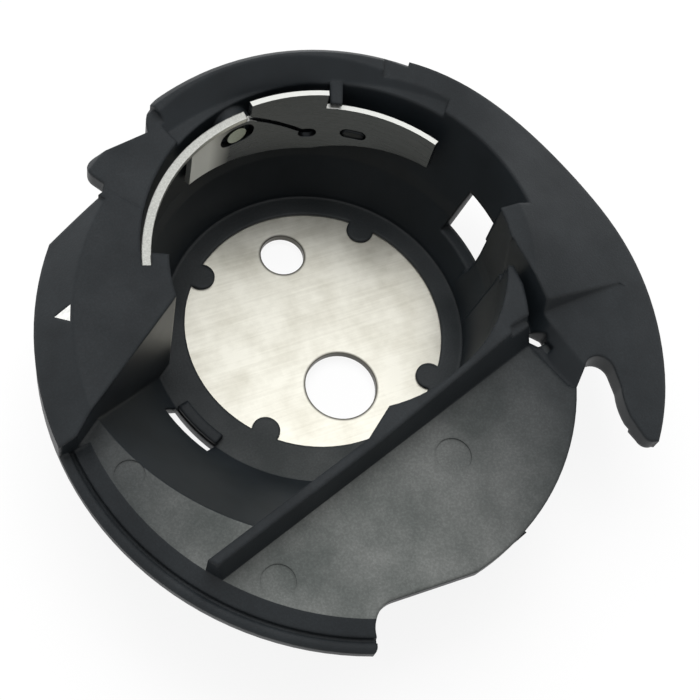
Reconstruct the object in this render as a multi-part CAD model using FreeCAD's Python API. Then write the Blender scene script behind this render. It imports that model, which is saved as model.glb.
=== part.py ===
import FreeCAD, Part
import math
import os

V = FreeCAD.Vector

# All sizes in mm. Z is up and the rim axis (the large hole in the floor) is the
# origin. The bobbin well's axis stands on +Y. Heights are drawn from the cup's
# underside, and the parts are saved with the steel plate's underside at z = 0.

# Bearing rim and flange
RIM_R = 20.9
RIM_Z = 7.8
RAIL_W = 1.9
RAIL_H = 0.3
PLATE_T = 0.8
TOP_Z = 11.6
BACK_TOP_Z = 12.48
BACK_AZ = 91.0
BACK_FALL = 0.00093
RIB_TOP_Z = 11.0
PLATE_Z0 = RIM_Z + RAIL_H
PLATE_Z1 = PLATE_Z0 + PLATE_T

# Bobbin well, whose axis keeps its reach to the back of the rim
BACK_REACH = 16.0
WELL_Y = RIM_R - BACK_REACH
FLOOR_Z = 1.0
FLOOR_R = 10.8
WALL_R = 10.9
FOOT_R = 11.8
LEAD_DX = 1.0
LEAD_DY = 0.4
FLARE_FROM = -36.0
FLARE_TO = 165.0

# Tension spring
LEAF_R = 12.15
LEAF_T = 0.4
LEAF_FROM = 31.5
LEAF_TO = 120.0
LEAF_TOP_Z = 12.1
LEAF_BACK = 0.1
WING_TOP_Z = 10.6
TONGUE_TOP_Z = 10.45
TAB_FROM = 70.0
TAB_TO = 96.0
SLIT_W = 0.35
SLIT_END_AZ = 74.5
SLIT_END_Z = 7.6
PEG_AZ = 59.0
PEG_Z = 7.9
PEG_HALF_W = 0.8
PEG_R = 0.36
PEG_GAP = 0.14

# Recess behind the spring, the well's wider mouth above it, and the cup's flare
RECESS_R = LEAF_R + LEAF_T + LEAF_BACK
RECESS_KNEE_R = RECESS_R - 0.3
RECESS_KNEE_Z = 4.5
RECESS_Z = 5.6
RECESS_FROM = -1.0
RECESS_TO = 161.0
MOUTH_R = RECESS_R + 0.95
MOUTH_DX = 1.0
MOUTH_DY = 0.3
FLARE_R = RECESS_R + 1.45

# Right wall, with its window and the thread trench beside it
SIDE_R = RECESS_R - 0.55
SIDE_FROM = -18.0
SIDE_TO = -0.8
WINDOW_AZ = 7.5
WINDOW_W = 3.9
WINDOW_Z0 = 3.2
WINDOW_Z1 = 7.4
TRENCH_Z = PLATE_Z1 - 0.15
EYE_AT = (11.25, -4.1)
EYE_ANGLE = -48.0
EYE_R = 0.38
EYE_HALF = 0.28

# Steel floor plate and the stakes that hold it
DISC_R = 9.8
DISC_SEEN_R = 9.35
DISC_Z0 = 0.3
DISC_T = 0.5
AXIS_HOLE_R = 2.55
SMALL_HOLE_R = 1.6
SMALL_HOLE_AT = 6.25
STAKE_R = 1.0
STAKE_AT = 9.0

# Tangent rib, scoop and low plates
RIB_ANGLE = 17.5
RIB_X = -3.0
RIB_Y = -7.83
RIB_HALF = 0.3
RIB_DRAFT = 0.5
WALL_LEAN = 0.6
WALL_RUN = 14.1
BLOCK_ANGLE = 38.0
BLOCK_X = -11.4
BLOCK_Y = 5.1
SCOOP_R = 18.6
SCOOP_FOOT_R = 11.9
SHELL_T = 0.8

# Guide strip
STRIP_R = LEAF_R - 0.1
STRIP_W = 0.6
STRIP_Z0 = 10.6
STRIP_T = 0.45
STRIP_FROM = 97.5
STRIP_TO = 165.0

# Tension screw and its lacquered recess
SCREW_AZ = 100.4
SCREW_Z = 9.2
SHANK_R = 0.75
SHANK_GAP = 0.04
HEAD_R = 1.15
HEAD_T = 0.9
DRIVE_W = 0.45
DRIVE_D = 0.45
POCKET_W = 4.2
POCKET_H = 2.7
POCKET_D = 1.5
POCKET_FLOOR = BACK_REACH - POCKET_D
BOSS_R = 1.5
SEAL_T = 0.3
SEAL_GAP = 0.06

# Left block's crest and outer edge, and the white index triangle on it
CREST_R = RIM_R - 2.4
CREST_FALL = 1.7
MARK_AZ = 160.5
MARK_DEEP = 0.2


def at_well(radius, azimuth, z=0.0):
    """Point at a radius and azimuth about the well axis."""
    a = math.radians(azimuth)
    return V(radius * math.cos(a), WELL_Y + radius * math.sin(a), z)


def at_rim(radius, azimuth, z=0.0):
    """Point at a radius and azimuth about the rim axis."""
    a = math.radians(azimuth)
    return V(radius * math.cos(a), radius * math.sin(a), z)


def ring(points, centre_y, start=0.0, sweep=360.0):
    """Solid turned about a vertical axis from an (r, z) polygon."""
    wire = Part.makePolygon([V(r, 0, z) for r, z in points + points[:1]])
    solid = Part.Face(wire).revolve(V(0, 0, 0), V(0, 0, 1), sweep)
    solid.rotate(V(0, 0, 0), V(0, 0, 1), start)
    solid.translate(V(0, centre_y, 0))
    return solid


def prism(points, z0, z1):
    """Straight prism over an (x, y) polygon."""
    wire = Part.makePolygon([V(x, y, z0) for x, y in points + points[:1]])
    return Part.Face(wire).extrude(V(0, 0, z1 - z0))


def drawn_prism(edges, z0, z1):
    """Straight prism over a drawn outline of lines and three-point arcs."""
    made = []
    for pts in edges:
        p = [V(x, y, z0) for x, y in pts]
        if len(p) == 3:
            made.append(Part.Arc(p[0], p[1], p[2]).toShape())
        else:
            made.append(Part.makeLine(p[0], p[1]))
    return Part.Face(Part.Wire(made)).extrude(V(0, 0, z1 - z0))


def wedge(start, stop, z0, z1, reach=30.0):
    """Sector about the well axis, between two azimuths."""
    steps = max(2, int(math.ceil((stop - start) / 60.0)) + 1)
    pts = [(0.0, WELL_Y)]
    for i in range(steps):
        p = at_well(reach, start + (stop - start) * i / (steps - 1))
        pts.append((p.x, p.y))
    return prism(pts, z0, z1)


def radial_box(azimuth, z, width, height, r0, r1, tilt=0.0):
    """Box that runs along a radius of the well, centred on an azimuth and z."""
    box = Part.makeBox(r1 - r0, width, height, V(r0, -width / 2, -height / 2))
    box.rotate(V(0, 0, 0), V(1, 0, 0), tilt)
    box.rotate(V(0, 0, 0), V(0, 0, 1), azimuth)
    box.translate(V(0, WELL_Y, z))
    return box


def radial_cylinder(radius, azimuth, z, r0, r1):
    """Cylinder along a radius of the well."""
    outward = at_well(1.0, azimuth) - V(0, WELL_Y, 0)
    return Part.makeCylinder(radius, r1 - r0, at_well(r0, azimuth, z), outward)


def radial_oblong(azimuth, z, width, height, r0, r1):
    """Round-ended slot shape along a radius of the well, longer sideways."""
    span = width - height
    a = math.radians(azimuth)
    side = V(-math.sin(a), math.cos(a), 0) * (span / 2)
    out = radial_box(azimuth, z, span, height, r0, r1)
    for sign in (-1, 1):
        end = radial_cylinder(height / 2, azimuth, z, r0, r1)
        end.translate(side * sign)
        out = out.fuse(end)
    return out.removeSplitter()


def under_plane(p, q, r):
    """Large block under the plane through three points."""
    normal = (q - p).cross(r - p)
    if normal.z < 0:
        normal = normal * -1
    block = Part.makeBox(80, 80, 40, V(-40, -40, -40))
    block.Placement = FreeCAD.Placement(p, FreeCAD.Rotation(V(0, 0, 1), normal))
    return block


def along(x, y, angle, run, side=0.0):
    """Point on a plan line: run along it, then side to its left."""
    a = math.radians(angle)
    return (x + run * math.cos(a) - side * math.sin(a), y + run * math.sin(a) + side * math.cos(a))


# Gap in the flange between the rim's end and the finger, seen from above:
# round the fingertip, up the notch, along the plate's lobe, out at the rim's end.
def flange_gap():
    edges = [
        [(17.4, -14.4), (15.75, -13.5)],
        [(15.75, -13.5), (15.2, -13.3), (14.95, -12.8)],
        [(14.95, -12.8), (14.6, -11.5)],
        [(14.6, -11.5), (14.65, -10.5), (14.95, -9.4)],
        [(14.95, -9.4), (15.1, -8.0)],
        [(15.1, -8.0), (14.3, -6.9), (13.2, -7.2)],
        [(13.2, -7.2), (12.3, -8.3)],
        [(12.3, -8.3), (8.5, -13.3), (0.5, -17.25)],
        [(0.5, -17.25), (-5.2, -17.0)],
        [(-5.2, -17.0), (-6.4, -17.45), (-6.95, -18.6)],
        [(-6.95, -18.6), (-7.15, -19.2)],
        [(-7.15, -19.2), (-7.5, -19.55), (-8.1, -19.5)],
        [(-8.1, -19.5), (-9.4, -22.0)],
        [(-9.4, -22.0), (-4.0, -28.0)],
        [(-4.0, -28.0), (20.0, -26.0)],
        [(20.0, -26.0), (17.4, -14.4)],
    ]
    return drawn_prism(edges, 0.0, 20.0)


# Gap in the rim between the upper lug and the left of the flange.
def lug_gap(r):
    a = at_rim(r, 116.3)
    b = at_rim(r, 123.5)
    c = at_rim(r, 130.0)
    edges = [
        [(-6.9, 22.5), (-6.75, 19.78)],
        [(-6.75, 19.78), (-8.15, 18.75), (a.x, a.y)],
        [(a.x, a.y), (b.x, b.y), (c.x, c.y)],
        [(c.x, c.y), (-12.75, 14.2), (-12.9, 13.85)],
        [(-12.9, 13.85), (-14.2, 13.3)],
        [(-14.2, 13.3), (-17.2, 12.0)],
        [(-17.2, 12.0), (-19.5, 12.4)],
        [(-19.5, 12.4), (-16.0, 22.5)],
        [(-16.0, 22.5), (-6.9, 22.5)],
    ]
    return drawn_prism(edges, 0.0, 20.0)


# Outward slope of the flange's right side: low at the right, climbing to the
# full height of the rim at the back.
def right_slope():
    wires = []
    for azimuth in (-52, -38, -24, -10, 4, 16, 26, 36, 46, 56, 63):
        t = min(1.0, max(0.0, (azimuth - 14.0) / 46.0))
        rise = t * t * (3 - 2 * t)
        z_out = PLATE_Z1 + 0.05 + (TOP_Z - PLATE_Z1 - 0.15) * rise
        a = math.radians(azimuth)
        inner = WELL_Y * math.sin(a) + math.sqrt(14.1 ** 2 - (WELL_Y * math.cos(a)) ** 2)
        z_in = 11.35
        outer = 24.0
        z_far = z_out + (z_out - z_in) * (outer - RIM_R) / (RIM_R - inner)
        pts = [(inner - 1.5, z_in + (z_in - z_out) * 1.5 / (RIM_R - inner)), (outer, z_far), (outer, 16.0)]
        pts.append((inner - 1.5, 16.0))
        ring_pts = [at_rim(r, azimuth, z) for r, z in pts]
        wires.append(Part.makePolygon(ring_pts + ring_pts[:1]))
    return Part.makeLoft(wires, True, False)


# Outward slope of the left block, at its own height or sunk by a depth.
def left_slope(deep):
    z = TOP_Z - deep
    far_r = RIM_R + 1.1
    slope = [(CREST_R, z), (RIM_R + 0.1, z - CREST_FALL), (far_r, z - CREST_FALL)]
    slope += [(far_r, 15.0), (CREST_R, 15.0)]
    return ring(slope, 0.0, 134.0, 66.0)


# Space behind the spring: a flared lower wall, a knee, and an oblique mouth.
def spring_recess():
    knee = [(5.0, FLOOR_Z), (FLOOR_R, FLOOR_Z), (RECESS_KNEE_R, RECESS_KNEE_Z), (RECESS_R, RECESS_Z)]
    lower = ring(knee + [(5.0, RECESS_Z)], WELL_Y)
    c0 = Part.Wire(Part.makeCircle(RECESS_R, V(0, WELL_Y, RECESS_Z)))
    c1 = Part.Wire(Part.makeCircle(MOUTH_R, V(MOUTH_DX, WELL_Y + MOUTH_DY, TOP_Z)))
    upper = Part.makeLoft([c0, c1], True, True)
    above = Part.makeCylinder(MOUTH_R, 4.0, V(MOUTH_DX, WELL_Y + MOUTH_DY, TOP_Z))
    space = lower.fuse([upper, above])
    return space.common(wedge(RECESS_FROM, RECESS_TO, FLOOR_Z, 20.0))


# Right side of the well, beside the trench: a plain wall up to the flange.
def side_space():
    wall = [(5.0, FLOOR_Z), (FLOOR_R, FLOOR_Z), (SIDE_R - 0.1, RECESS_KNEE_Z)]
    wall += [(SIDE_R, RECESS_Z), (SIDE_R, 15.0)]
    return ring(wall + [(5.0, 15.0)], WELL_Y, SIDE_FROM, SIDE_TO - SIDE_FROM)


# Plan area between the left block's face and the rib, open to the well.
def scoop_area(grow):
    return [
        along(BLOCK_X, BLOCK_Y, BLOCK_ANGLE, 4.0, grow),
        along(BLOCK_X, BLOCK_Y, BLOCK_ANGLE, -16.0, grow),
        (-26.0, -16.0),
        along(RIB_X, RIB_Y, RIB_ANGLE, -22.0, RIB_HALF - grow),
        along(RIB_X, RIB_Y, RIB_ANGLE, 0.0, RIB_HALF - grow),
        (-0.9, WELL_Y - WALL_R + 0.1),
    ]


# Low plate at the front: everything above it is cut away up to the rib, whose
# front face leans back, and up to the right block's side.
def front_cut():
    wires = []
    rise = 14.0 - PLATE_Z1
    for z, lean in ((PLATE_Z1, RIB_DRAFT), (14.0, RIB_DRAFT * (1 - rise / (RIB_TOP_Z - PLATE_Z1)))):
        west = along(RIB_X, RIB_Y, RIB_ANGLE, -22.0, -RIB_HALF - lean)
        east = along(RIB_X, RIB_Y, RIB_ANGLE, WALL_RUN, -RIB_HALF - lean)
        pts = [west, east, (11.78, -7.89), (13.0, -8.6), (13.0, -26.0), (-26.0, -26.0)]
        p = [V(x, y, z) for x, y in pts]
        wires.append(Part.makePolygon(p + p[:1]))
    return Part.makeLoft(wires, True, True)


# Past the rib's end the well wall's front face leans back more and more.
def wall_lean():
    wires = []
    for z in (PLATE_Z1, 14.0):
        t = (z - PLATE_Z1) / (RIB_TOP_Z - PLATE_Z1)
        start = -RIB_HALF - RIB_DRAFT * (1 - t)
        runs = ((0.0, start), (WALL_RUN + 0.9, start + WALL_LEAN * t), (WALL_RUN + 0.9, -2.0), (0.0, -2.0))
        p = [along(RIB_X, RIB_Y, RIB_ANGLE, run, side) for run, side in runs]
        p = [V(x, y, z) for x, y in p]
        wires.append(Part.makePolygon(p + p[:1]))
    return Part.makeLoft(wires, True, True)


# Step down from the right slope to the finger, with a sloping face.
def finger_step():
    wires = []
    for z, shift in ((9.3, -1.05), (14.0, 1.45)):
        pts = [(12.0, -2.55 + shift), (18.6, -1.45 + shift), (24.0, -6.0 + shift)]
        pts += [(20.0, -20.0), (8.0, -12.0)]
        pts.append((9.0, -3.2 + shift))
        p = [V(x, y, z) for x, y in pts]
        wires.append(Part.makePolygon(p + p[:1]))
    return Part.makeLoft(wires, True, True)


# Trench that leads the thread out of the well, past the wall's end, to the notch
# beside the finger. Its right side slopes from the finger down to the plate.
def thread_trench():
    wires = []
    west = [(11.78, -7.89), (10.7, -4.75), (10.46, -3.4), (10.94, -2.06)]
    west += [(11.24, -0.9), (11.25, 0.6), (10.8, 0.75)]
    foot = [(11.3, 2.6), (11.6, 2.3), (11.65, 0.0), (11.45, -2.5)]
    foot += [(11.15, -3.9), (11.5, -6.25), (12.4, -8.45)]
    head = [(11.3, 2.6), (11.9, 2.3), (12.05, 0.0), (12.25, -2.5)]
    head += [(12.9, -3.9), (14.05, -6.25), (14.6, -8.45)]
    for z, east in ((TRENCH_Z, foot), (11.4, head)):
        p = [V(x, y, z) for x, y in west + east]
        wires.append(Part.makePolygon(p + p[:1]))
    above = prism(west + head, 11.4, 16.0)
    return Part.makeLoft(wires, True, True).fuse(above)


# Space over the back of the rim, whose crest rises behind the spring and falls to
# both sides, and over the rest of the flange, which is level.
def over_rim():
    wires = []
    far_r = RIM_R + 1.5
    for azimuth in range(58, 119, 6):
        top = BACK_TOP_Z - BACK_FALL * (azimuth - BACK_AZ) ** 2
        pts = [(8.0, top), (RIM_R - 0.5, top), (far_r, top - 1.6), (far_r, 16.0), (8.0, 16.0)]
        p = [at_rim(r, azimuth, z) for r, z in pts]
        wires.append(Part.makePolygon(p + p[:1]))
    level = Part.makeCylinder(24.0, 5.0, V(0, 0, TOP_Z), V(0, 0, 1), 300.0)
    level.rotate(V(0, 0, 0), V(0, 0, 1), 118.0)
    return [Part.makeLoft(wires, True, False), level]


# Upright gusset under the flange, drawn in its own plane and given a thickness.
def fin(x, y, angle, profile, thick):
    p = [V(s, -thick / 2, z) for s, z in profile]
    solid = Part.Face(Part.makePolygon(p + p[:1])).extrude(V(0, thick, 0))
    solid.rotate(V(0, 0, 0), V(0, 0, 1), angle)
    solid.translate(V(x, y, 0))
    return solid


def case_blank():
    """Outer form of the moulding, before the well and its details."""
    rail_r = RIM_R - RAIL_W
    flange = Part.makeCylinder(RIM_R, BACK_TOP_Z + 0.2 - PLATE_Z0, V(0, 0, PLATE_Z0))
    for space in over_rim():
        flange = flange.cut(space)
    flange = flange.fuse(ring([(rail_r, RIM_Z), (RIM_R, RIM_Z), (RIM_R, 9.0), (rail_r, 9.0)], 0.0))
    flange = flange.cut(flange_gap())
    flange = flange.cut(lug_gap(19.25))
    lug = [
        [(-7.6, 17.6), (-8.7, 17.4)],
        [(-8.7, 17.4), (-12.3, 16.75)],
        [(-12.3, 16.75), (-13.15, 16.2), (-13.1, 15.3)],
        [(-13.1, 15.3), (-12.4, 14.2)],
        [(-12.4, 14.2), (-9.0, 14.5)],
        [(-9.0, 14.5), (-7.6, 17.6)],
    ]
    flange = flange.fuse(drawn_prism(lug, 10.3, TOP_Z - 0.1))

    # Top levels: right slope, back slope, left block's two slopes, fingertip, low plates
    flange = flange.cut(right_slope())
    lip_r = RIM_R - 0.5
    far_r = RIM_R + 1.1
    lug_top = ring([(lip_r, TOP_Z), (13.0, 10.9), (13.0, 15.0), (lip_r, 15.0)], 0.0, 112.0, 20.0)
    flange = flange.cut(lug_top)
    edge = [(lip_r, TOP_Z), (RIM_R + 0.05, TOP_Z - 0.5), (far_r, TOP_Z - 0.5), (far_r, 15.0), (lip_r, 15.0)]
    flange = flange.cut(ring(edge, 0.0, 112.0, 22.0))
    back = [(lip_r, 12.6), (RIM_R - 2.15, 10.95), (13.0, 10.85), (13.0, 15.0), (lip_r, 15.0)]
    flange = flange.cut(ring(back, 0.0, 48.0, 65.0))
    left_in = ring([(CREST_R, TOP_Z), (9.0, 10.75), (9.0, 15.0), (CREST_R, 15.0)], 0.0, 132.0, 68.0)
    flange = flange.cut(left_slope(0.0)).cut(left_in)
    tip_r = RIM_R - 1.3
    tip = ring([(9.0, 10.75), (tip_r, 9.4), (tip_r, 15.0), (9.0, 15.0)], 0.0, -62.0, 66.0)
    flange = flange.cut(tip.common(finger_step()))
    flange = flange.cut(front_cut()).cut(wall_lean())
    flange = flange.cut(prism(scoop_area(0.0), PLATE_Z1, 15.0))
    crown = [(-20.0, -18.0), (-20.0, -6.0), (-4.0, -5.0), (9.0, 1.0)]
    crown += [(11.3, 1.4), (11.5, -2.0), (12.0, -9.0)]
    flange = flange.cut(prism(crown, RIB_TOP_Z, 15.0).common(wedge(-160.0, -17.5, 8.0, 16.0)))
    step = [(-2.0, 0.0), (-0.95, -0.35), (-0.9, -0.6), (-0.65, -0.6)]
    step += [(-0.6, -0.3), (-0.2, -0.3), (0.1, -0.5)]
    step = [(RIM_R + r, PLATE_Z1 + z) for r, z in step] + [(far_r, PLATE_Z1 - 0.5)]
    flange = flange.cut(ring(step + [(far_r, 15.0), (RIM_R - 2.0, 15.0)], 0.0, 184.0, 68.0))

    # Cup: straight at the front and left, flared at the back and right
    cup = Part.makeCylinder(FOOT_R, PLATE_Z1, V(0, WELL_Y, 0))
    flare = [(5.0, 0.0), (10.9, 0.0), (11.35, 0.12), (11.65, 0.4), (11.85, 0.9), (FLARE_R, PLATE_Z0 + 0.2)]
    cup = cup.cut(wedge(20.0, FLARE_TO, -1.0, 1.0))
    cup = cup.fuse(ring(flare + [(5.0, PLATE_Z0 + 0.2)], WELL_Y, 20.0, FLARE_TO - 20.0))
    side = [(5.0, 0.0), (FOOT_R, 0.0), (FLARE_R, PLATE_Z0 + 0.2), (5.0, PLATE_Z0 + 0.2)]
    cup = cup.fuse(ring(side, WELL_Y, FLARE_FROM, 20.0 - FLARE_FROM))

    # Shell under the scoop
    lift = (SCOOP_R - SCOOP_FOOT_R) / (PLATE_Z1 - FLOOR_Z)
    under = [(5.0, 0.0), (FOOT_R, 0.0), (SCOOP_R + SHELL_T, PLATE_Z1 - 0.2), (5.0, PLATE_Z1 - 0.2)]
    shell = ring(under, WELL_Y).common(prism(scoop_area(SHELL_T), 0.0, PLATE_Z1))
    shell = shell.common(Part.makeCylinder(RIM_R - 0.3, 20.0, V(0, 0, 0)))

    # Gussets
    long_fin = [(-1.2, 0.15), (0.6, 0.0), (8.2, 2.35), (9.2, 2.85), (9.7, 3.6), (10.0, PLATE_Z0 + 0.2)]
    front_fin = fin(1.25, -6.6, -71.6, long_fin + [(-1.2, PLATE_Z0 + 0.2)], 0.8)
    short_fin = [(-1.6, 0.1), (0.1, 0.0), (6.7, PLATE_Z0 + 0.2), (-1.6, PLATE_Z0 + 0.2)]
    side_fin = fin(11.6, 2.25, -22.0, short_fin, 0.8)
    return flange.fuse([cup, shell, front_fin, side_fin])


def case_body(disc):
    """The moulding, with its well, openings, boss, pegs and stakes."""
    body = case_blank()

    # Well, spring recess and scoop
    body = body.cut(Part.makeCylinder(WALL_R, 20.0, V(0, WELL_Y, FLOOR_Z)))
    c0 = Part.Wire(Part.makeCircle(FLOOR_R, V(0, WELL_Y, FLOOR_Z)))
    c1 = Part.Wire(Part.makeCircle(WALL_R, V(LEAD_DX, WELL_Y + LEAD_DY, 8.0)))
    lead = Part.makeLoft([c0, c1], True, True)
    lead = lead.fuse(Part.makeCylinder(WALL_R, 8.0, V(LEAD_DX, WELL_Y + LEAD_DY, 8.0)))
    body = body.cut(lead.common(wedge(-90.0, 10.0, FLOOR_Z, 20.0)))
    body = body.cut(side_space()).cut(spring_recess()).cut(thread_trench())
    inside = [(5.0, FLOOR_Z), (SCOOP_FOOT_R, FLOOR_Z), (SCOOP_R, PLATE_Z1), (SCOOP_R, 15.0), (5.0, 15.0)]
    body = body.cut(ring(inside, WELL_Y).common(prism(scoop_area(0.0), FLOOR_Z, 15.0)))

    # Window in the right wall, and the slot with its sill at the foot of the scoop
    window_z = (WINDOW_Z0 + WINDOW_Z1) / 2
    window_h = WINDOW_Z1 - WINDOW_Z0
    body = body.cut(radial_box(WINDOW_AZ, window_z, WINDOW_W, window_h, FLOOR_R, FLARE_R + 1.1))
    foot = SCOOP_FOOT_R
    sill = [(WALL_R + 0.05, 0.5), (foot, 0.5), (foot, 1.5), (WALL_R + 0.2, 1.5)]
    body = body.fuse(ring(sill, WELL_Y, 194.0, 18.0))
    slot = [(foot + 0.1, -1.0), (foot + 1.05, -1.0), (foot + 1.05, 4.0), (foot + 0.1, 4.0)]
    body = body.cut(ring(slot, WELL_Y, 193.5, 18.5))

    # Hollow under the right slope, ejector marks, and the dimple underneath
    core = [(RIM_R - 4.0, 7.0), (RIM_R - 2.3, 7.0)]
    core += [(RIM_R - 2.3, PLATE_Z0 + 0.15), (RIM_R - 4.0, PLATE_Z0 + 0.7)]
    body = body.cut(ring(core, 0.0, 4.0, 34.0))
    for x, y, r in ((-17.3, -4.1, 0.95), (-11.3, -13.5, 1.1), (2.3, -9.8, 1.2)):
        body = body.cut(Part.makeCylinder(r, 1.0, V(x, y, PLATE_Z1 - 0.08)))
    body = body.cut(Part.makeCylinder(0.9, 1.0, V(-13.3, -11.6, PLATE_Z0 - 0.75)))

    # Small slot through the trench's floor, at the wall's end
    for run in (-EYE_HALF, EYE_HALF):
        x, y = along(*EYE_AT, EYE_ANGLE, run)
        body = body.cut(Part.makeCylinder(EYE_R, 2.5, V(x, y, PLATE_Z0 - 0.5)))
    box = ((-EYE_HALF, -EYE_R), (EYE_HALF, -EYE_R), (EYE_HALF, EYE_R), (-EYE_HALF, EYE_R))
    slot = [along(*EYE_AT, EYE_ANGLE, run, side) for run, side in box]
    body = body.cut(prism(slot, PLATE_Z0 - 0.5, PLATE_Z0 + 2.0))

    # Screw boss, pocket and bore
    body = body.fuse(radial_cylinder(BOSS_R, SCREW_AZ, SCREW_Z, RECESS_R - 0.05, POCKET_FLOOR))
    body = body.cut(radial_oblong(SCREW_AZ, SCREW_Z + 0.2, POCKET_W, POCKET_H, POCKET_FLOOR, 20.0))
    bore_r = SHANK_R + SHANK_GAP
    body = body.cut(radial_cylinder(bore_r, SCREW_AZ, SCREW_Z, LEAF_R - 1.0, POCKET_FLOOR + 1.5))

    # Spring peg and the clip over the spring's right wing
    peg = radial_oblong(PEG_AZ, PEG_Z, PEG_HALF_W * 2, PEG_R * 2, LEAF_R - 0.05, RECESS_R + 0.75)
    body = body.fuse(peg)
    clip_z = WING_TOP_Z + 0.15
    clip = [(LEAF_R + 0.15, clip_z), (RECESS_R + 1.65, clip_z)]
    clip += [(RECESS_R + 1.65, clip_z + 0.3), (LEAF_R + 0.15, clip_z + 0.3)]
    body = body.fuse(ring(clip, WELL_Y, 65.0, 3.8))

    # Slot for the guide strip's end
    slot = [(STRIP_R - 0.02, STRIP_Z0), (STRIP_R + STRIP_W + 0.02, STRIP_Z0)]
    slot += [(STRIP_R + STRIP_W + 0.02, 15.0), (STRIP_R - 0.02, 15.0)]
    body = body.cut(ring(slot, WELL_Y, STRIP_FROM, STRIP_TO + 0.2 - STRIP_FROM))

    # Floor: opening for the plate, stakes, and the groove the plate sits in
    body = body.cut(Part.makeCylinder(DISC_SEEN_R, 3.0, V(0, WELL_Y, -1.0)))
    for i in range(4):
        p = at_well(STAKE_AT, 45.0 + 90.0 * i, 0.1)
        body = body.fuse(Part.makeCylinder(STAKE_R, FLOOR_Z - 0.1, p))
    return body.cut(disc.copy())


def floor_plate():
    disc = Part.makeCylinder(DISC_R, DISC_T, V(0, WELL_Y, DISC_Z0))
    disc = disc.cut(Part.makeCylinder(AXIS_HOLE_R, 4.0, V(0, 0, -1.0)))
    disc = disc.cut(Part.makeCylinder(SMALL_HOLE_R, 4.0, V(0, WELL_Y + SMALL_HOLE_AT, -1.0)))
    for i in range(4):
        disc = disc.cut(Part.makeCylinder(STAKE_R, 4.0, at_well(STAKE_AT, 45.0 + 90.0 * i, -1.0)))
    return disc


def tension_spring():
    outer = LEAF_R + LEAF_T
    sheet = [(LEAF_R, 5.0), (outer, 5.0), (outer, LEAF_TOP_Z), (LEAF_R, LEAF_TOP_Z)]
    leaf = ring(sheet, WELL_Y, LEAF_FROM, LEAF_TO - LEAF_FROM)

    # Lower edge: lowest under the slit's end, rising towards both ends
    low = at_well(LEAF_R, 72.0, 5.7)
    left = under_plane(low, at_well(LEAF_R, 94.0, 6.0), at_well(LEAF_R, 120.0, 6.9))
    right = under_plane(low, at_well(LEAF_R, 49.0, 7.0), at_well(LEAF_R, 31.5, 7.7))
    leaf = leaf.cut(left.common(wedge(72.0, 125.0, 0.0, 20.0)))
    leaf = leaf.cut(right.common(wedge(25.0, 72.0, 0.0, 20.0)))

    # Upper edge: right wing, raised centre tab, left tongue
    leaf = leaf.cut(wedge(25.0, TAB_FROM, WING_TOP_Z, 20.0))
    leaf = leaf.cut(wedge(TAB_TO, 125.0, TONGUE_TOP_Z, 20.0))

    # Diagonal thread slit down to its end hole
    top_s = math.radians(TAB_TO - SLIT_END_AZ) * LEAF_R
    drop = TONGUE_TOP_Z + 0.2 - SLIT_END_Z
    tilt = math.degrees(math.atan2(drop, top_s))
    mid_az = (TAB_TO + SLIT_END_AZ) / 2
    mid_z = (TONGUE_TOP_Z + 0.2 + SLIT_END_Z) / 2
    r0 = LEAF_R - 2.0
    r1 = LEAF_R + 2.0
    leaf = leaf.cut(radial_box(mid_az, mid_z, math.hypot(drop, top_s) + 0.9, SLIT_W, r0, r1, tilt))
    leaf = leaf.cut(radial_oblong(SLIT_END_AZ, SLIT_END_Z, 1.3, 1.0, r0, r1))
    leaf = leaf.cut(radial_oblong(SCREW_AZ, SCREW_Z, 2.7, 1.9, r0, r1))
    leaf = leaf.cut(radial_oblong(PEG_AZ, PEG_Z, (PEG_HALF_W + PEG_GAP) * 2, (PEG_R + PEG_GAP) * 2, r0, r1))
    return leaf.removeSplitter()


def guide_strip():
    outer = STRIP_R + STRIP_W
    top = STRIP_Z0 + STRIP_T
    bar = [(STRIP_R, STRIP_Z0), (outer, STRIP_Z0), (outer, top), (STRIP_R, top)]
    return ring(bar, WELL_Y, STRIP_FROM, STRIP_TO - STRIP_FROM)


def tension_screw():
    screw = radial_cylinder(SHANK_R, SCREW_AZ, SCREW_Z, LEAF_R, POCKET_FLOOR + 0.1)
    top = POCKET_FLOOR + HEAD_T
    screw = screw.fuse(radial_cylinder(HEAD_R, SCREW_AZ, SCREW_Z, POCKET_FLOOR + 0.03, top))
    screw = screw.cut(radial_box(SCREW_AZ, SCREW_Z, HEAD_R * 3, DRIVE_W, top - DRIVE_D, top + 1.0, 25.0))
    return screw.removeSplitter()


def thread_lock_seal():
    seal = radial_oblong(SCREW_AZ, SCREW_Z + 0.2, POCKET_W, POCKET_H, POCKET_FLOOR, POCKET_FLOOR + SEAL_T)
    clear_r = HEAD_R + SEAL_GAP
    return seal.cut(radial_cylinder(clear_r, SCREW_AZ, SCREW_Z, POCKET_FLOOR - 1.0, POCKET_FLOOR + 1.0))


def index_mark(body):
    tip = at_rim(CREST_R + 1.1, MARK_AZ)
    base = [at_rim(CREST_R + 0.15, MARK_AZ - 1.75), at_rim(CREST_R + 0.15, MARK_AZ + 1.75)]
    block = prism([(tip.x, tip.y), (base[0].x, base[0].y), (base[1].x, base[1].y)], TOP_Z - 3.0, 15.0)
    return block.common(left_slope(MARK_DEEP)).common(body)


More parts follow.
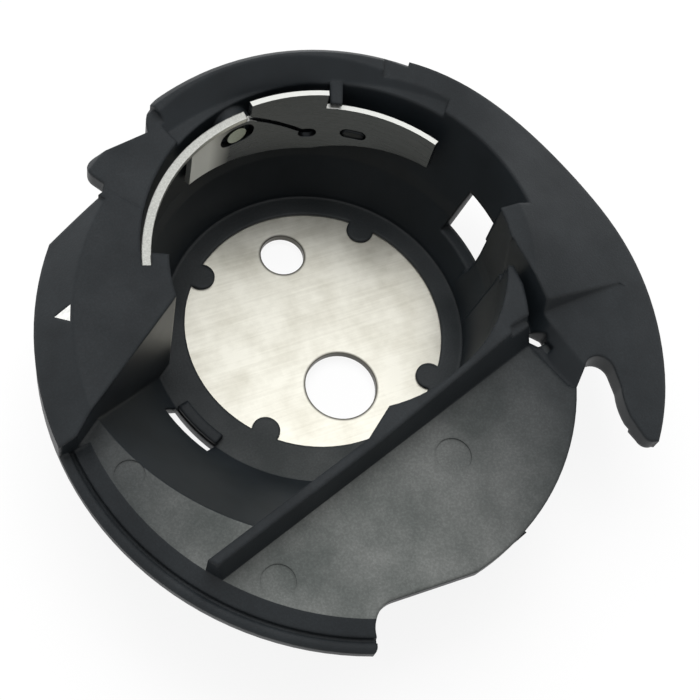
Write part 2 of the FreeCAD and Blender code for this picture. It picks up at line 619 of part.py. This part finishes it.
os.makedirs("parts", exist_ok=True)
plate = floor_plate()
body = case_body(plate)
mark = index_mark(body)
body = body.cut(mark.copy()).removeSplitter()
nodes = {
    "case_body": body,
    "floor_plate": plate,
    "tension_spring": tension_spring(),
    "guide_strip": guide_strip(),
    "tension_screw": tension_screw(),
    "thread_lock_seal": thread_lock_seal(),
    "index_mark": mark,
}
for name, shape in nodes.items():
    if len(shape.Solids) == 1:
        shape = shape.Solids[0]
    shape.translate(V(0, 0, -DISC_Z0))
    box = shape.BoundBox
    print(name, "solids", len(shape.Solids), "valid", shape.isValid(), "volume", round(shape.Volume, 2),
          "z", round(box.ZMin, 2), round(box.ZMax, 2))
    shape.exportStep("parts/" + name + ".step")
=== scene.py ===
import math

import bpy
import numpy as np
from mathutils import Matrix, Vector


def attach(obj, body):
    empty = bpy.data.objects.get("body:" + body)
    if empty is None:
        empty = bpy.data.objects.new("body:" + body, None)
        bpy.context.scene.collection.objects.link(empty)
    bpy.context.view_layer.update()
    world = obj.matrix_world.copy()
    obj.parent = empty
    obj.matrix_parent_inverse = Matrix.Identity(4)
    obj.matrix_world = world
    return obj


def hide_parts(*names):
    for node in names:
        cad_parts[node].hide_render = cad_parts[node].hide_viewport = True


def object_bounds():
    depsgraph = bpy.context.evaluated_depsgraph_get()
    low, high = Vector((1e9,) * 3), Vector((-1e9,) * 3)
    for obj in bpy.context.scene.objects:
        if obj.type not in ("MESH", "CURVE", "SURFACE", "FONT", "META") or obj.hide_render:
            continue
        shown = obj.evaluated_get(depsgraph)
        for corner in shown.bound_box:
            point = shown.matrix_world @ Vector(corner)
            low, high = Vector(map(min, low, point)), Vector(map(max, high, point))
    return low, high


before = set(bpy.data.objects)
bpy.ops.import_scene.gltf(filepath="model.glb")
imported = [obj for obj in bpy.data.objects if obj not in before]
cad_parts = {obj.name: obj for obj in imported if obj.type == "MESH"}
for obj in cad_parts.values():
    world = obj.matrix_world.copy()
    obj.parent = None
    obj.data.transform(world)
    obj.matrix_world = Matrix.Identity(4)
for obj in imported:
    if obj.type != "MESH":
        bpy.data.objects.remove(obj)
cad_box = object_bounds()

bpy.context.scene.view_settings.view_transform = "Standard"
MM = 0.001


# The case: one shot of black glass-filled nylon. The mould is spark-eroded on the
# flange, the ledges and the outer walls, and polished on the well's walls and the
# scoop. The low plates and the floor ring are eroded more coarsely, and are painted
# greyer: part wear, part a painted sheen of the light on their level tops.
WELL_Y = 4.9 * MM
PLATE_TOP, PLATE_SLACK = 8.6 * MM, 0.1 * MM
RING_TOP, RING_SLACK = 0.7 * MM, 0.05 * MM
FLAT_FROM, FLAT_OVER = 0.74, 0.18
LEVEL_FROM = 0.999
ERODED_OUTSIDE, ERODED_INSIDE = 0.6, 0.2
COARSE_AND_SHEEN_PLATE, COARSE_AND_SHEEN_RING = 1.0, 0.6
MERGE_STEP = 0.0002 * MM


def smooth_copy(node, name):
    """New object from a CAD node's triangles: corners at one place become one vertex,
    and each face keeps the normals of the CAD surface it came from."""
    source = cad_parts[node].data
    spots = np.empty(len(source.vertices) * 3)
    corner = np.empty(len(source.loops), dtype=np.int32)
    normals = np.empty(len(source.loops) * 3)
    source.vertices.foreach_get("co", spots)
    source.loops.foreach_get("vertex_index", corner)
    source.corner_normals.foreach_get("vector", normals)
    spots = spots.reshape(-1, 3)
    steps = np.round(spots / MERGE_STEP).astype(np.int64)
    first, place = np.unique(steps, axis=0, return_index=True, return_inverse=True)[1:]
    tris = place.ravel()[corner].reshape(-1, 3)
    whole = (tris != np.roll(tris, 1, axis=1)).all(axis=1)
    mesh = bpy.data.meshes.new(name)
    mesh.from_pydata(spots[first].tolist(), [], tris[whole].tolist())
    mesh.shade_smooth()
    mesh.normals_split_custom_set(normals.reshape(-1, 3, 3)[whole].reshape(-1, 3).tolist())
    piece = bpy.data.objects.new(name, mesh)
    bpy.context.scene.collection.objects.link(piece)
    return piece


def face_arrays(piece):
    """Normals and centres of a piece's faces, one row each."""
    faces = piece.data.polygons
    normal = np.empty(len(faces) * 3)
    centre = np.empty(len(faces) * 3)
    faces.foreach_get("normal", normal)
    faces.foreach_get("center", centre)
    return normal.reshape(-1, 3), centre.reshape(-1, 3)


def mark_faces(piece, name, values):
    """Keeps one number per face in an attribute that a material reads."""
    piece.data.attributes.new(name, "FLOAT", "FACE").data.foreach_set("value", values)


def linear(code):
    """Linear colour, with alpha, from an sRGB hex value."""
    c = np.array([int(code[i:i + 2], 16) for i in (1, 3, 5)]) / 255
    c = np.where(c <= 0.04045, c / 12.92, ((c + 0.055) / 1.055) ** 2.4)
    return tuple(float(v) for v in c) + (1.0,)


def add(tree, kind, **settings):
    """Adds a node. A setting is an attribute of the node, the stops of its ramp, or an
    input by name, with _ for a space, or by number after an i. A node given as a value
    is linked by its first live output, an output is linked, and the rest is set."""
    made = tree.nodes.new(kind)
    for key, value in settings.items():
        if key == "stops":
            for stop, (at, tint) in zip(made.color_ramp.elements, value):
                stop.position = at
                stop.color = tint
            continue
        if hasattr(made, key):
            setattr(made, key, value)
            continue
        if key[1:].isdigit():
            socket = made.inputs[int(key[1:])]
        else:
            socket = next(s for s in made.inputs if s.enabled and s.name == key.replace("_", " "))
        if isinstance(value, bpy.types.Node):
            value = next(s for s in value.outputs if s.enabled)
        if isinstance(value, bpy.types.NodeSocket):
            tree.links.new(value, socket)
        else:
            socket.default_value = value
    return made


def new_finish(name):
    """New material: returns it, its node tree and its shader's inputs."""
    finish = bpy.data.materials.new(name)
    finish.use_nodes = True
    tree = finish.node_tree
    return finish, tree, tree.nodes["Principled BSDF"].inputs


# Each face is eroded by how flat it lies, and the outer walls more than the well's.
case = smooth_copy("case_body", "case_moulding")
normal, centre = face_arrays(case)
flat = np.clip((np.abs(normal[:, 2]) - FLAT_FROM) / FLAT_OVER, 0.0, 1.0)
outward = (normal[:, 0] * centre[:, 0] + normal[:, 1] * (centre[:, 1] - WELL_Y)) > 0
least = np.where(outward, ERODED_OUTSIDE, ERODED_INSIDE)
mark_faces(case, "eroded", least + (1 - least) * flat * flat * (3 - 2 * flat))
level = normal[:, 2] > LEVEL_FROM
# Level faces at the plate and ring tops get the paler tone: coarser erosion, and a painted sheen
# of the light on their tops.
on_plate = level & (np.abs(centre[:, 2] - PLATE_TOP) < PLATE_SLACK)
on_ring = level & (np.abs(centre[:, 2] - RING_TOP) < RING_SLACK)
mark_faces(case, "coarse_and_sheen", np.where(on_plate, COARSE_AND_SHEEN_PLATE, np.where(on_ring, COARSE_AND_SHEEN_RING, 0.0)))

# Erosion pits of a few hundredths of a millimetre are too fine to show, so the grit is
# drawn coarser. Round one spot in front the plates are painted paler: a painted sheen
# where the sheen lamp's reflection falls, partly handling wear.
GRIT = 0.14 * MM
PATCH = 5.0 * MM
WORN_AND_SHEEN_AT = (-7.0 * MM, -15.0 * MM, PLATE_TOP)
WORN_AND_SHEEN_FROM, WORN_AND_SHEEN_TO = 5.0 * MM, 19.0 * MM
EDGE_ROUND = 0.38 * MM
moulding, tree, shader = new_finish("nylon_moulded")
place = add(tree, "ShaderNodeTexCoord").outputs["Object"]
eroded = add(tree, "ShaderNodeAttribute", attribute_name="eroded").outputs["Fac"]
coarse_and_sheen = add(tree, "ShaderNodeAttribute", attribute_name="coarse_and_sheen").outputs["Fac"]
grit = add(tree, "ShaderNodeTexNoise", Scale=1 / GRIT, Detail=3.0, Roughness=0.6, Vector=place)
patch = add(tree, "ShaderNodeTexNoise", Scale=1 / PATCH, Detail=3.0, Roughness=0.55, Vector=place)
tone = add(tree, "ShaderNodeValToRGB", Fac=patch,
           stops=((0.35, linear("#15191c")), (0.7, linear("#1f2326"))))
pale = add(tree, "ShaderNodeValToRGB", Fac=patch,
           stops=((0.35, linear("#4d514f")), (0.7, linear("#6c6e6c"))))
# Painted sheen, partly handling wear: the plates are painted paler the nearer they lie to the
# spot where the sheen lamp reflects.
reach = add(tree, "ShaderNodeVectorMath", operation="DISTANCE", i0=place, i1=WORN_AND_SHEEN_AT)
handled_and_sheen = add(tree, "ShaderNodeMapRange", Value=reach, From_Min=WORN_AND_SHEEN_FROM,
              From_Max=WORN_AND_SHEEN_TO, To_Min=1.0, To_Max=0.1)
worn_and_sheen = add(tree, "ShaderNodeMath", operation="MULTIPLY", i0=coarse_and_sheen, i1=handled_and_sheen)
ground = add(tree, "ShaderNodeMix", data_type="RGBA", Factor=worn_and_sheen, A=tone, B=pale)
speck = add(tree, "ShaderNodeValToRGB", Fac=grit,
            stops=((0.42, (0.87, 0.87, 0.87, 1.0)), (0.72, (1.22, 1.22, 1.22, 1.0))))
pitted = add(tree, "ShaderNodeMix", data_type="RGBA", blend_type="MULTIPLY", Factor=1.0,
             A=ground, B=speck)
polished = add(tree, "ShaderNodeValToRGB", Fac=patch,
               stops=((0.3, linear("#15191c")), (0.7, linear("#1e2327"))))
colour = add(tree, "ShaderNodeMix", data_type="RGBA", Factor=eroded, A=polished, B=pitted)
matt = add(tree, "ShaderNodeMapRange", Value=patch, From_Min=0.38, From_Max=0.64,
           To_Min=0.5, To_Max=0.42)
gloss = add(tree, "ShaderNodeMix", Factor=eroded, A=0.42, B=matt)
height = add(tree, "ShaderNodeMath", operation="MULTIPLY", i0=grit, i1=eroded)
round_edge = add(tree, "ShaderNodeBevel", samples=8, Radius=EDGE_ROUND)
bump = add(tree, "ShaderNodeBump", Strength=0.5, Distance=0.03 * MM, Height=height,
           Normal=round_edge)
tree.links.new(colour.outputs[2], shader["Base Color"])
tree.links.new(gloss.outputs[0], shader["Roughness"])
tree.links.new(bump.outputs[0], shader["Normal"])
shader["IOR"].default_value = 1.53
shader["Specular IOR Level"].default_value = 0.22
case.data.materials.append(moulding)
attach(case, "case")
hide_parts("case_body")


# The floor plate: a stamped disc of cold-rolled steel, moulded into the cup's floor.
# Rolling leaves fine straight lines, drawn wider here so that they show, and handling
# leaves a cloudy haze.
ROLL_LINE = 0.22 * MM
ROLL_LENGTH = 30 * ROLL_LINE
ROLL_TURN = math.radians(28)
HAZE = 2.6 * MM
HOLES = ((0.0, 2.55 * MM), (11.15 * MM, 1.6 * MM))
HOLE_SHADE_FROM, HOLE_SHADE_TO = 0.05 * MM, 0.2 * MM
plate = smooth_copy("floor_plate", "floor_disc")
rolled, tree, shader = new_finish("steel_cold_rolled")
place = add(tree, "ShaderNodeTexCoord").outputs["Object"]
along = add(tree, "ShaderNodeMapping", Vector=place, Rotation=(0.0, 0.0, ROLL_TURN),
            Scale=(1 / ROLL_LENGTH, 1 / ROLL_LINE, 1 / ROLL_LINE))
lines = add(tree, "ShaderNodeTexNoise", Scale=1.0, Detail=4.0, Roughness=0.6, Vector=along)
haze = add(tree, "ShaderNodeTexNoise", Scale=1 / HAZE, Detail=5.0, Roughness=0.62, Vector=place)
both = add(tree, "ShaderNodeMix", Factor=0.7, A=lines, B=haze)
colour = add(tree, "ShaderNodeValToRGB", Fac=both,
             stops=((0.34, linear("#c8c5b8")), (0.6, linear("#e4e2d7"))))
sheen = add(tree, "ShaderNodeMapRange", Value=both, From_Min=0.3, From_Max=0.7,
            To_Min=0.3, To_Max=0.38)
# Painted shade: a thin dark ring is painted all round each hole, just outside its edge.
flat_place = add(tree, "ShaderNodeVectorMath", operation="MULTIPLY", i0=place, i1=(1.0, 1.0, 0.0))
for hole_y, hole_r in HOLES:
    off = add(tree, "ShaderNodeVectorMath", operation="DISTANCE", i0=flat_place,
              i1=(0.0, hole_y, 0.0))
    hole_shade = add(tree, "ShaderNodeMapRange", Value=off, From_Min=hole_r + HOLE_SHADE_FROM,
               From_Max=hole_r + HOLE_SHADE_TO, To_Min=1.0, To_Max=0.0)
    colour = add(tree, "ShaderNodeMix", data_type="RGBA", Factor=hole_shade, A=colour,
                 B=linear("#4c4a44"))
bump = add(tree, "ShaderNodeBump", Strength=0.25, Distance=0.006 * MM, Height=lines)
tree.links.new(colour.outputs[2], shader["Base Color"])
tree.links.new(sheen.outputs[0], shader["Roughness"])
tree.links.new(bump.outputs[0], shader["Normal"])
shader["Metallic"].default_value = 1.0
plate.data.materials.append(rolled)
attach(plate, "case")
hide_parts("floor_plate")


# The tension leaf: hardened steel spring strip, stamped, slit and rolled to the well's
# curve, and given a dark tone. The thread runs in under it through the diagonal slit.
# Its up-facing top edge is painted bright: bare cut steel, with a painted highlight
# along it. The tongue on the left is given a bright steel colour.
GRIND = 0.16 * MM
GRIND_LENGTH = 12 * GRIND
EDGE_ABOVE, EDGE_UP = 10.0 * MM, 0.7
TONGUE_FROM, TONGUE_TO = -2.6 * MM, -4.4 * MM
leaf = smooth_copy("tension_spring", "tension_leaf")
normal, centre = face_arrays(leaf)
# Painted highlight: up-facing faces along the top edge are painted bright, partly bare cut steel.
lit_top_edge = (normal[:, 2] > EDGE_UP) & (centre[:, 2] > EDGE_ABOVE)
mark_faces(leaf, "sheared_and_highlit", np.where(lit_top_edge, 1.0, 0.0))
spring_strip, tree, shader = new_finish("steel_spring_strip")
place = add(tree, "ShaderNodeTexCoord").outputs["Object"]
along = add(tree, "ShaderNodeMapping", Vector=place,
            Scale=(1 / GRIND_LENGTH, 1 / GRIND_LENGTH, 1 / GRIND))
lines = add(tree, "ShaderNodeTexNoise", Scale=1.0, Detail=3.0, Roughness=0.55, Vector=along)
tone = add(tree, "ShaderNodeValToRGB", Fac=lines,
           stops=((0.3, linear("#45484b")), (0.7, linear("#56595c"))))
sheen = add(tree, "ShaderNodeMapRange", Value=lines, From_Min=0.3, From_Max=0.7,
            To_Min=0.24, To_Max=0.36)
across = add(tree, "ShaderNodeSeparateXYZ", Vector=place).outputs["X"]
tongue = add(tree, "ShaderNodeMapRange", Value=across, From_Min=TONGUE_FROM,
             From_Max=TONGUE_TO, To_Min=0.0, To_Max=1.0)
sheared_and_highlit = add(tree, "ShaderNodeAttribute", attribute_name="sheared_and_highlit").outputs["Fac"]
bright = add(tree, "ShaderNodeMath", operation="MAXIMUM", i0=tongue, i1=sheared_and_highlit)
colour = add(tree, "ShaderNodeMix", data_type="RGBA", Factor=bright, A=tone,
             B=linear("#e6e7e3"))
dull = add(tree, "ShaderNodeMix", Factor=bright, A=sheen, B=0.5)
round_edge = add(tree, "ShaderNodeBevel", samples=4, Radius=0.06 * MM)
tree.links.new(colour.outputs[2], shader["Base Color"])
tree.links.new(dull.outputs[0], shader["Roughness"])
tree.links.new(round_edge.outputs[0], shader["Normal"])
shader["Metallic"].default_value = 1.0
leaf.data.materials.append(spring_strip)
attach(leaf, "spring")
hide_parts("tension_spring")


# The guide strip: bright flat steel wire along the leaf's upper left edge, its end
# pushed into a slot of the case. Drawing leaves it smooth, with a faint grain.
DRAW = 0.1 * MM
guide = smooth_copy("guide_strip", "guide_wire")
wire, tree, shader = new_finish("steel_flat_wire")
place = add(tree, "ShaderNodeTexCoord").outputs["Object"]
drawn = add(tree, "ShaderNodeTexNoise", Scale=1 / DRAW, Detail=2.0, Roughness=0.5, Vector=place)
tone = add(tree, "ShaderNodeValToRGB", Fac=drawn,
           stops=((0.3, linear("#b4b5b0")), (0.7, linear("#cfd0cb"))))
round_edge = add(tree, "ShaderNodeBevel", samples=6, Radius=0.12 * MM)
tree.links.new(tone.outputs[0], shader["Base Color"])
tree.links.new(round_edge.outputs[0], shader["Normal"])
shader["Roughness"].default_value = 0.3
shader["Metallic"].default_value = 1.0
guide.data.materials.append(wire)
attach(guide, "case")
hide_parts("guide_strip")


# The tension screw: a turned steel screw with a straight slot, in an oblong pocket
# of the outer wall. A trace of the lacquer tints it.
TURN = 0.12 * MM
screw = smooth_copy("tension_screw", "tension_screw_turned")
turned, tree, shader = new_finish("steel_turned")
place = add(tree, "ShaderNodeTexCoord").outputs["Object"]
marks = add(tree, "ShaderNodeTexNoise", Scale=1 / TURN, Detail=2.0, Roughness=0.5, Vector=place)
tone = add(tree, "ShaderNodeValToRGB", Fac=marks,
           stops=((0.0, linear("#8c948a")), (1.0, linear("#b2b8ac"))))
tree.links.new(tone.outputs[0], shader["Base Color"])
shader["Metallic"].default_value = 1.0
shader["Roughness"].default_value = 0.34
screw.data.materials.append(turned)
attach(screw, "screw")
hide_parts("tension_screw")


# The thread-lock lacquer: green and glossy, brushed round the screw's head after the
# tension was set, and uneven where it flowed.
FLOW = 1.2 * MM
seal = smooth_copy("thread_lock_seal", "lacquer_film")
lacquer, tree, shader = new_finish("lacquer_thread_lock")
place = add(tree, "ShaderNodeTexCoord").outputs["Object"]
flow = add(tree, "ShaderNodeTexNoise", Scale=1 / FLOW, Detail=2.0, Roughness=0.5, Vector=place)
tone = add(tree, "ShaderNodeValToRGB", Fac=flow,
           stops=((0.3, linear("#2f6f43")), (0.7, linear("#4a9560"))))
bump = add(tree, "ShaderNodeBump", Strength=0.5, Distance=0.08 * MM, Height=flow)
tree.links.new(tone.outputs[0], shader["Base Color"])
tree.links.new(bump.outputs[0], shader["Normal"])
shader["Roughness"].default_value = 0.16
shader["Coat Weight"].default_value = 0.5
seal.data.materials.append(lacquer)
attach(seal, "case")
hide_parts("thread_lock_seal")


# The index mark: white paint wiped into a shallow triangle on the left block, a little
# worn where it stands at the surface.
WEAR = 0.3 * MM
mark = smooth_copy("index_mark", "index_triangle")
paint, tree, shader = new_finish("paint_filled_white")
place = add(tree, "ShaderNodeTexCoord").outputs["Object"]
wear = add(tree, "ShaderNodeTexNoise", Scale=1 / WEAR, Detail=3.0, Roughness=0.6, Vector=place)
tone = add(tree, "ShaderNodeValToRGB", Fac=wear,
           stops=((0.3, linear("#c9cac8")), (0.6, linear("#e6e6e2"))))
tree.links.new(tone.outputs[0], shader["Base Color"])
shader["Roughness"].default_value = 0.6
mark.data.materials.append(paint)
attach(mark, "case")
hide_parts("index_mark")


# The studio floor: a sheet of white paper under the case. Most of its white is given
# to the rays that see the background, and the rest takes the case's shadow.
FLOOR_HALF = 0.6
FLOOR_GLOW = 0.88


def background_rays(tree):
    """A node that gives 1 for camera, glossy and transmission rays, and 0 for others."""
    ray = add(tree, "ShaderNodeLightPath").outputs
    mirror = add(tree, "ShaderNodeMath", operation="MAXIMUM", i0=ray["Is Glossy Ray"],
                 i1=ray["Is Transmission Ray"])
    return add(tree, "ShaderNodeMath", operation="MAXIMUM", i0=ray["Is Camera Ray"], i1=mirror)


side = np.array([-FLOOR_HALF, FLOOR_HALF])
across, along = np.meshgrid(side, side, indexing="ij")
corners = np.stack([across.ravel(), along.ravel(), np.full(4, cad_box[0][2])], axis=1)
floor_mesh = bpy.data.meshes.new("studio_floor")
floor_mesh.from_pydata(corners.tolist(), [], [(0, 2, 3, 1)])
floor = bpy.data.objects.new("studio_floor", floor_mesh)
bpy.context.scene.collection.objects.link(floor)
paper, tree, shader = new_finish("paper_white")
shader["Base Color"].default_value = linear("#f4f4f4")
shader["Roughness"].default_value = 0.9
shader["Specular IOR Level"].default_value = 0.1
share = add(tree, "ShaderNodeMath", operation="MULTIPLY", i0=background_rays(tree), i1=FLOOR_GLOW)
surface = add(tree, "ShaderNodeMixShader", i0=share, i1=tree.nodes["Principled BSDF"],
              i2=add(tree, "ShaderNodeEmission"))
tree.links.new(surface.outputs[0], tree.nodes["Material Output"].inputs["Surface"])
floor_mesh.materials.append(paper)


# The light: a light tent with its near side open. The background is white, and diffuse
# light comes from behind the case, dim in front and a little less from the right.
TENT_FRONT, TENT_BACK = 0.22, 1.04
TENT_RIGHT = 0.75
TENT_POWER = 1.2
world = bpy.data.worlds.new("studio_world")
bpy.context.scene.world = world
world.use_nodes = True
tree = world.node_tree
towards = add(tree, "ShaderNodeTexCoord").outputs["Generated"]
axes = add(tree, "ShaderNodeSeparateXYZ", Vector=towards).outputs
behind = add(tree, "ShaderNodeMapRange", interpolation_type="SMOOTHSTEP", Value=axes["Y"],
             From_Min=-0.45, From_Max=0.3, To_Min=TENT_FRONT, To_Max=TENT_BACK)
beside = add(tree, "ShaderNodeMapRange", interpolation_type="SMOOTHSTEP", Value=axes["X"],
             From_Min=0.2, From_Max=0.6, To_Min=1.0, To_Max=TENT_RIGHT)
tent = add(tree, "ShaderNodeMath", operation="MULTIPLY", i0=behind, i1=beside)
lit = add(tree, "ShaderNodeMath", operation="MULTIPLY", i0=tent, i1=TENT_POWER)
power = add(tree, "ShaderNodeMix", Factor=background_rays(tree), A=lit, B=1.0)
sky = tree.nodes["Background"].inputs
sky["Color"].default_value = linear("#ffffff")
tree.links.new(power.outputs[0], sky["Strength"])


def softbox(name, at, aim, size, watts, mirrored):
    """Square area lamp at a point, in millimetres, turned to face another. One that
    isn't mirrored lights the case without showing in the metal."""
    lamp = bpy.data.lights.new(name, "AREA")
    lamp.size = size * MM
    lamp.energy = watts
    holder = bpy.data.objects.new(name, lamp)
    start = Vector(at) * MM
    turn = (Vector(aim) * MM - start).to_track_quat("-Z", "Y")
    holder.matrix_world = Matrix.Translation(start) @ turn.to_matrix().to_4x4()
    holder.visible_glossy = mirrored
    bpy.context.scene.collection.objects.link(holder)


softbox("softbox_top", at=(20.0, 130.0, 240.0), aim=(0.0, 0.0, 0.0), size=200.0, watts=0.5,
        mirrored=False)
softbox("softbox_sheen", at=(61.4, 33.9, 245.0), aim=(-6.0, -15.0, 8.6), size=70.0, watts=0.04,
        mirrored=True)


# The camera: at the photograph's viewing angle, above the front left of the case. Its
# place is in millimetres, and its two directions give its turn.
CAMERA_AT = (-28.468, -31.300, 87.441)
CAMERA_RIGHT = (0.905921, -0.390654, 0.163390)
CAMERA_FORWARD = (0.308157, 0.343573, -0.887128)
LENS = 70.0
SENSOR = 36.0
lens = bpy.data.cameras.new("camera")
lens.sensor_width = SENSOR
lens.lens = LENS
lens.clip_start = 5.0 * MM
camera = bpy.data.objects.new("camera", lens)
right = Vector(CAMERA_RIGHT).normalized()
back = -Vector(CAMERA_FORWARD).normalized()
turn = Matrix((right, back.cross(right), back)).transposed().to_4x4()
camera.matrix_world = Matrix.Translation(Vector(CAMERA_AT) * MM) @ turn
bpy.context.scene.collection.objects.link(camera)
bpy.context.scene.camera = camera
